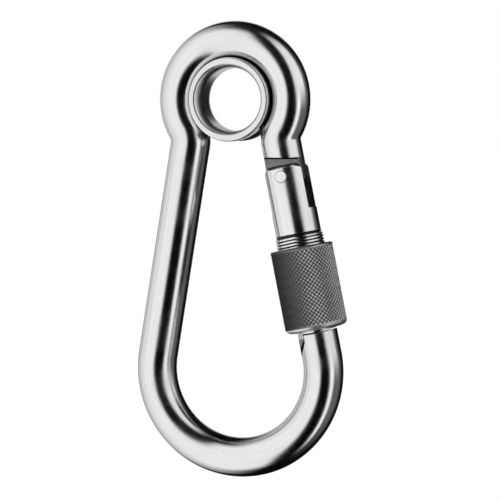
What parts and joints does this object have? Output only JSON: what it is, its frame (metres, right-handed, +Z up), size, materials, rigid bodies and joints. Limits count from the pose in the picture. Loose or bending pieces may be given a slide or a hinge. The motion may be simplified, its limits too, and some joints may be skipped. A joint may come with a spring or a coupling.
{
  "type": "screw-lock snap hook",
  "caption": "Round-bar snap hook for keys, with a lined eye, a sprung inward-opening gate and a knurled locking sleeve.",
  "frame": {"origin": "centre of the lined eye's bore, on the hook's mid plane", "axes": "+Z up along the hook from the bow to the eye, +Y along the eye's axis, +X towards the side with the gate; the front faces -Y"},
  "size_m": [0.0385, 0.011, 0.08],
  "materials": {
    "polished_bar": "polished, lightly brushed steel",
    "polished_gate": "turned and polished steel",
    "thimble": "bright pressed steel",
    "rivet": "dressed flush, satin",
    "knurled_steel": "dark fine diamond knurl with a bright edge",
    "oiled_steel": "dark oiled steel",
    "spring_wire": "spring wire"
  },
  "bodies": {
    "hook": {"hook_body": "polished_bar", "eye_thimble": "thimble"},
    "gate": {"gate_barrel": "polished_gate", "hinge_rivet": "rivet", "gate_spring": "spring_wire"},
    "plunger": {"spring_plunger": "oiled_steel"},
    "sleeve": {"lock_sleeve": "knurled_steel"}
  },
  "joints": [
    {"name": "gate_swing", "type": "hinge", "parent": "hook", "child": "gate", "pos_m": [0.00943, 0, -0.01349], "axis": [0, 1, 0], "range_deg": [0, 36], "stiffness_Nm_per_rad": 0.012, "springref_deg": -34.38},
    {"name": "plunger_slide", "type": "slide", "parent": "gate", "child": "plunger", "axis": [0.1805, 0, -0.9836], "range_m": [0, 0.0009], "deforming": ["gate_spring"]},
    {"name": "sleeve_travel", "type": "slide", "parent": "gate", "child": "sleeve", "axis": [-0.1805, 0, 0.9836], "range_m": [-0.0032, 0.002]}
  ],
  "couplings": [
    {"joint": "plunger_slide", "follows": "gate_swing", "m_per_rad": 0.0014}
  ]
}
